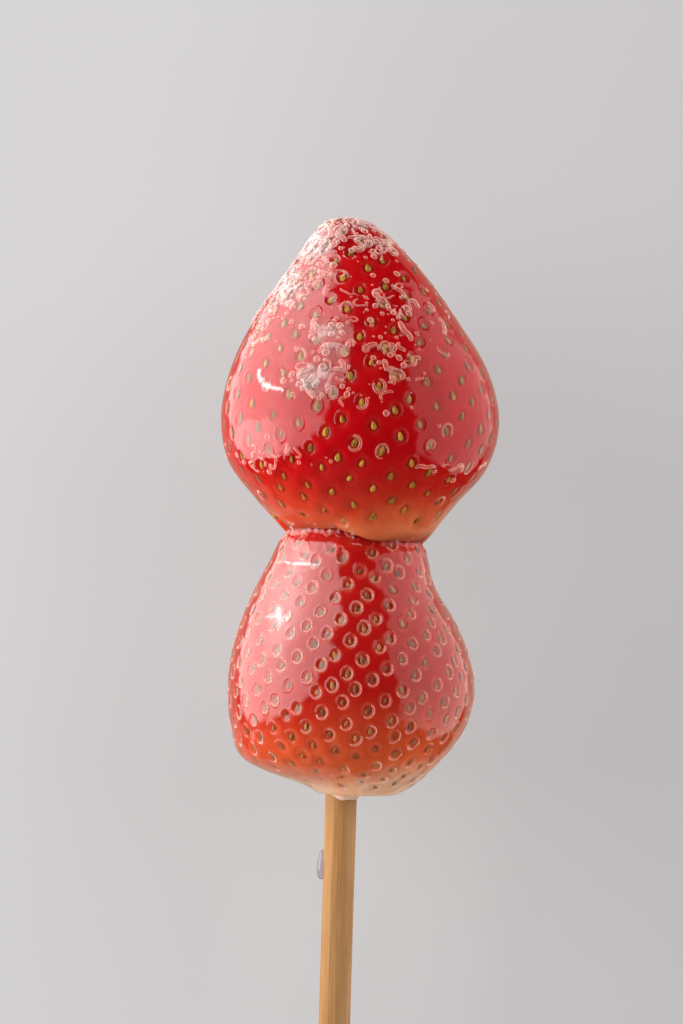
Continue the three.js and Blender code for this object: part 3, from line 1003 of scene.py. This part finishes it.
def card(name, points, glow, tint=(1, 1, 1)):
    """A curved sheet on a grid of points that shows only as a reflection in the sugar. It
    glows on the side that faces the fruits, with its own strength at each point, and
    adds to what is behind it."""
    rows, columns = points.shape[:2]
    first = (np.arange(rows - 1)[:, None] * columns + np.arange(columns - 1)).ravel()
    piece = make_piece(name, points.reshape(-1, 3),
                       np.stack([first, first + 1, first + columns + 1, first + columns], -1))
    add_values(piece, "glow", glow)
    material, tree, light = new_material(name, "ShaderNodeEmission")
    front = worked(tree, "SUBTRACT", 1.0, node(tree, "ShaderNodeNewGeometry").outputs["Backfacing"])
    set_inputs(light, Color=(*tint, 1), Strength=worked(tree, "MULTIPLY", attribute(tree, "glow"), front))
    clear = node(tree, "ShaderNodeBsdfTransparent")
    both = node(tree, "ShaderNodeAddShader", {0: light.outputs[0], 1: clear.outputs[0]})
    show(tree, both)
    piece.data.materials.append(material)
    piece.visible_camera = piece.visible_diffuse = piece.visible_shadow = False
    piece.visible_transmission = False


window, soft_edge = filled([
    (8, 64), (9, 45), (17, 24), (25, 5), (31, -12), (42, -23), (60, -30), (113, -32),
    (128, -18), (138, -4), (149, 11), (160, 25), (172, 45), (135, 66), (60, 68)])
brightness = soft_edge * np.interp(window[..., 1], (-30, -5, 12, 60), (2.7, 3.5, 3.1, 4.4))
brightness *= np.interp(window[..., 0], (20, 45, 78, 100, 130), (0.70, 0.84, 1.25, 1.10, 0.88))
card("window_card", seen_in_ball(window, 150.0), brightness, (1.0, 0.965, 0.94))
wall, soft_edge = filled([
    (-42, 46), (-68, 58), (-98, 58), (-128, 46), (-141, 22), (-143, 0), (-136, -25),
    (-112, -42), (-62, -38), (-46, -33), (-40, -22), (-36, 0), (-32, 28)])
brightness = soft_edge * np.interp(wall[..., 0], (-85, -35), (1.1, 0.80))
card("wall_card", seen_in_ball(wall, 600.0), brightness, (1.0, 0.95, 0.90))
under, soft_edge = filled([
    (132, 89), (132, 0), (132, -60), (165, -85), (185, -60), (205, -30), (228, -5), (228, 89), (180, 89)])
card("under_card", seen_in_ball(under, 420.0), 0.42 * soft_edge, (1.0, 0.86, 0.68))


def glint(name, path, half_width, strength, away):
    """A painted highlight, bright or soft: a glowing card that the sugar mirrors along a path on its shown
    side.
    """
    spots, share = ribbon(path, half_width)
    card(name, seen_on_skin(spots, away), strength * share)


# Painted highlights: glowing cards that the sugar mirrors at chosen places on the fruits.
glint("upper_glint",
      [(-11.9, 19.4), (-11.8, 20.5), (-11.35, 21.4), (-10.45, 21.9), (-9.4, 22.1), (-8.6, 22.05)],
      half_width=0.45, strength=17.0, away=2.0)
glint("lower_glint", [(-8.0, 43.60), (-6.8, 43.75), (-5.6, 43.8), (-4.4, 43.78), (-3.3, 43.65)],
      half_width=0.27, strength=10.0, away=1.2)
glint("star_across", [(-10.2, 50.4), (-8.5, 50.4), (-6.8, 50.4)], half_width=0.50, strength=4.5, away=1.2)
glint("star_along", [(-8.5, 48.7), (-8.5, 50.4), (-8.5, 52.1)], half_width=0.50, strength=4.5, away=1.2)
glint("star_glow", [(-8.5, 49.1), (-8.5, 51.7)], half_width=1.4, strength=3.0, away=1.2)
glint("lower_glow", [(-6.7, 44.2), (-7.4, 47.4), (-8.3, 51.5), (-9.3, 55.8)],
      half_width=3.2, strength=2.2, away=30.0)


def stand(name, data, right, up, place):
    """Puts a light or a camera at a place, with its right and up directions as given."""
    thing = bpy.data.objects.new(name, data)
    bpy.context.scene.collection.objects.link(thing)
    turned = np.column_stack([right, up, np.cross(right, up), place])
    thing.matrix_world = Matrix(np.vstack([turned, [0, 0, 0, 1]]).tolist())
    return thing


lit_place = (0.0, 0.04, 0.015)  # between the fruits, in metres


def soft_light(name, place, size, power):
    """A square, evenly glowing area light that shines from its place towards the fruits."""
    light = bpy.data.lights.new(name, "AREA")
    light.shape = "SQUARE"
    light.size = size
    light.energy = power
    back = unit(np.subtract(place, lit_place))
    right = unit(np.cross([0, 1, 0], back))
    lamp = stand(name, light, right, np.cross(back, right), place)
    lamp.visible_camera = lamp.visible_glossy = False


soft_light("window_light", (-0.98, 0.30, 0.27), size=0.9, power=26.5)
soft_light("wall_light", (0.86, 0.42, 0.32), size=0.9, power=13.0)
soft_light("low_light", (-0.20, -0.98, 0.36), size=0.7, power=8.0)

world = bpy.data.worlds.new("room")
world.use_nodes = True
set_inputs(world.node_tree.nodes["Background"], Color=(1, 0.98, 0.97, 1), Strength=0.02)
bpy.context.scene.world = world
bpy.context.scene.view_settings.view_transform = "Standard"

# The frame is 683 x 1024 pixels, and one pixel is 0.126 mm at the fruits' outline.
pixel = 0.126
frame_height = 1024 * pixel
lean = 0.0294  # how far the skewer leans to the right, over its length
axis_right = 7.9 * pixel  # of the frame's middle, on the middle row
middle_down = 37.05  # the middle row's distance down the skewer
camera_distance = 650.0
sensor = 36.0
camera_data = bpy.data.cameras.new("camera")
camera_data.sensor_width = sensor
camera_data.lens = sensor * camera_distance / frame_height
turn = np.arctan(lean)
right = np.array([np.cos(turn), np.sin(turn), 0])
up = np.array([-np.sin(turn), np.cos(turn), 0])
eye = (tip_place + [0, -middle_down, camera_distance] - axis_right * right) * MM
bpy.context.scene.camera = stand("camera", camera_data, right, up, eye)
